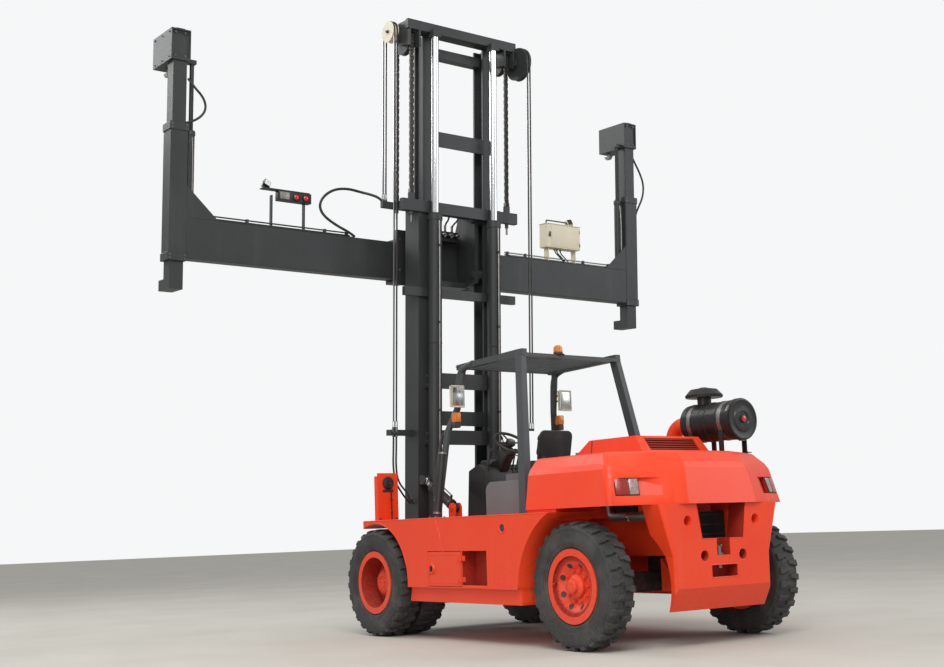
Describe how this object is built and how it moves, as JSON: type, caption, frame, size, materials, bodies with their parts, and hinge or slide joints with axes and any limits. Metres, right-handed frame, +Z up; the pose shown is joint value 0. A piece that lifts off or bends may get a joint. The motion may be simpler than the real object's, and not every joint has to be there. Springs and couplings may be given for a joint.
{
  "type": "empty container handler",
  "caption": "Counterbalanced lift truck with a tall mast and a side spreader for empty containers, orange-red body and dark grey mast",
  "frame": {"origin": "on the ground, in the middle of the bounding box", "axes": "+X forward to the spreader, +Y to the machine's left, +Z up"},
  "size_m": [4.4288, 6.1, 6.3171],
  "materials": {
    "black_paint": "black enamel",
    "body_paint": "orange-red enamel, chalked and scuffed",
    "chrome": "polished rod",
    "cream": "cream enamel",
    "cushion": "black cover",
    "engine_paint": "oily casting",
    "guard_paint": "blue-grey enamel",
    "lamp": "red and amber lenses in black housings",
    "mast_paint": "dark grey enamel, greased and rubbed",
    "plastic": "black",
    "rubber": "worn, dusty",
    "steel": "oiled"
  },
  "bodies": {
    "truck": {"air_cleaner": "black_paint", "counterweight": "body_paint", "dash": "guard_paint", "drive_axle": "black_paint", "engine": "engine_paint", "floor_plate": "guard_paint", "frame": "body_paint", "guard": "guard_paint", "hitch_pin": "steel", "hood": "body_paint", "intake_elbow": "body_paint", "lamp_uprights": "body_paint", "mirrors": "cream", "radiator": "black_paint", "seat": "cushion", "seat_covers": "guard_paint", "side_bodies": "body_paint", "steer_axle": "black_paint", "steering_wheel": "plastic", "tail_pipe": "steel", "truck_lamps": "lamp"},
    "front_left_wheels": {"front_left_tyres": "rubber", "front_left_rims": "body_paint"},
    "front_right_wheels": {"front_right_tyres": "rubber", "front_right_rims": "body_paint"},
    "knuckle_left": {"knuckle_left": "black_paint"},
    "knuckle_right": {"knuckle_right": "black_paint"},
    "rear_left_wheel": {"rear_left_tyre": "rubber", "rear_left_rim": "body_paint"},
    "rear_right_wheel": {"rear_right_tyre": "rubber", "rear_right_rim": "body_paint"},
    "side_door": {"side_door": "body_paint"},
    "hood_lid": {"hood_lid": "body_paint"},
    "tilt_barrel_left": {"tilt_barrel_left": "mast_paint"},
    "tilt_barrel_right": {"tilt_barrel_right": "mast_paint"},
    "tilt_rod_left": {"tilt_rod_left": "chrome"},
    "tilt_rod_right": {"tilt_rod_right": "chrome"},
    "outer_mast": {"outer_mast": "mast_paint", "lift_barrels": "mast_paint", "rear_strands": "steel"},
    "inner_mast": {"inner_mast": "mast_paint", "lift_rods": "chrome", "sheaves": "cream", "front_strands": "steel"},
    "carriage": {"carriage": "mast_paint"},
    "spreader": {"spreader_beam": "mast_paint", "leg_barrels": "mast_paint", "spreader_lamps": "lamp", "control_box": "cream"},
    "leg_left": {"leg_left": "mast_paint"},
    "leg_right": {"leg_right": "mast_paint"},
    "twistlock_left": {"twistlock_left": "steel"},
    "twistlock_right": {"twistlock_right": "steel"}
  },
  "joints": [
    {"name": "front_left_spin", "type": "hinge", "parent": "truck", "child": "front_left_wheels", "pos_m": [1.29561, 0.91, 0.509], "axis": [0, 1, 0], "continuous": true},
    {"name": "front_right_spin", "type": "hinge", "parent": "truck", "child": "front_right_wheels", "pos_m": [1.29561, -0.91, 0.509], "axis": [0, 1, 0], "continuous": true},
    {"name": "steer_left", "type": "hinge", "parent": "truck", "child": "knuckle_left", "pos_m": [-1.53439, 0.86, 0.509], "axis": [0, 0, 1], "range_deg": [-60, 60]},
    {"name": "steer_right", "type": "hinge", "parent": "truck", "child": "knuckle_right", "pos_m": [-1.53439, -0.86, 0.509], "axis": [0, 0, 1], "range_deg": [-60, 60]},
    {"name": "rear_left_spin", "type": "hinge", "parent": "knuckle_left", "child": "rear_left_wheel", "pos_m": [-1.53439, 0.955, 0.509], "axis": [0, 1, 0], "continuous": true},
    {"name": "rear_right_spin", "type": "hinge", "parent": "knuckle_right", "child": "rear_right_wheel", "pos_m": [-1.53439, -0.955, 0.509], "axis": [0, 1, 0], "continuous": true},
    {"name": "side_door_swing", "type": "hinge", "parent": "truck", "child": "side_door", "pos_m": [-0.14639, 1.162, 0.6435], "axis": [0, 0, 1], "range_deg": [0, 110]},
    {"name": "hood_lid_lift", "type": "hinge", "parent": "truck", "child": "hood_lid", "pos_m": [-0.80939, 0, 1.61], "axis": [0, 1, 0], "range_deg": [0, 60]},
    {"name": "mast_tilt", "type": "hinge", "parent": "truck", "child": "outer_mast", "pos_m": [1.47061, 0, 0.52], "axis": [0, 1, 0], "range_deg": [-3.05, 5.95]},
    {"name": "tilt_barrel_left_swing", "type": "hinge", "parent": "truck", "child": "tilt_barrel_left", "pos_m": [0.86561, 0.49, 1.2], "axis": [0, 1, 0], "range_deg": [-2.1, 4.06]},
    {"name": "tilt_barrel_right_swing", "type": "hinge", "parent": "truck", "child": "tilt_barrel_right", "pos_m": [0.86561, -0.49, 1.2], "axis": [0, 1, 0], "range_deg": [-2.1, 4.06]},
    {"name": "tilt_rod_left_stroke", "type": "slide", "parent": "tilt_barrel_left", "child": "tilt_rod_left", "axis": [0.8664, 0, 0.4994], "range_m": [-0.04771, 0.0926]},
    {"name": "tilt_rod_right_stroke", "type": "slide", "parent": "tilt_barrel_right", "child": "tilt_rod_right", "axis": [0.8664, 0, 0.4994], "range_m": [-0.04771, 0.0926]},
    {"name": "mast_lift", "type": "slide", "parent": "outer_mast", "child": "inner_mast", "axis": [-0.0515, 0, 0.9987], "range_m": [-1.45, 1.4], "deforming": ["rear_strands"]},
    {"name": "carriage_lift", "type": "slide", "parent": "inner_mast", "child": "carriage", "axis": [-0.0515, 0, 0.9987], "range_m": [-1.45, 1.4], "deforming": ["front_strands"]},
    {"name": "side_shift", "type": "slide", "parent": "carriage", "child": "spreader", "axis": [0, 1, 0], "range_m": [-0.3, 0.3]},
    {"name": "leg_left_slide", "type": "slide", "parent": "spreader", "child": "leg_left", "axis": [-0.0515, 0, 0.9987], "range_m": [-0.205, 0.1]},
    {"name": "leg_right_slide", "type": "slide", "parent": "spreader", "child": "leg_right", "axis": [-0.0515, 0, 0.9987], "range_m": [-0.205, 0.1]},
    {"name": "twistlock_left_turn", "type": "hinge", "parent": "leg_left", "child": "twistlock_left", "pos_m": [2.12451, 2.9265, 5.6104], "axis": [-0.0515, 0, 0.9987], "range_deg": [0, 90]},
    {"name": "twistlock_right_turn", "type": "hinge", "parent": "leg_right", "child": "twistlock_right", "pos_m": [2.12451, -2.9265, 5.6104], "axis": [-0.0515, 0, 0.9987], "range_deg": [0, 90]}
  ],
  "couplings": [
    {"joint": "steer_right", "follows": "steer_left", "ratio": 1},
    {"joint": "carriage_lift", "follows": "mast_lift", "ratio": 1},
    {"joint": "leg_right_slide", "follows": "leg_left_slide", "ratio": 1},
    {"joint": "twistlock_right_turn", "follows": "twistlock_left_turn", "ratio": 1},
    {"joint": "tilt_barrel_left_swing", "follows": "mast_tilt", "ratio": 0.67343},
    {"joint": "tilt_rod_left_stroke", "follows": "mast_tilt", "m_per_rad": 0.88689},
    {"joint": "tilt_barrel_right_swing", "follows": "mast_tilt", "ratio": 0.67343},
    {"joint": "tilt_rod_right_stroke", "follows": "mast_tilt", "m_per_rad": 0.88689}
  ]
}
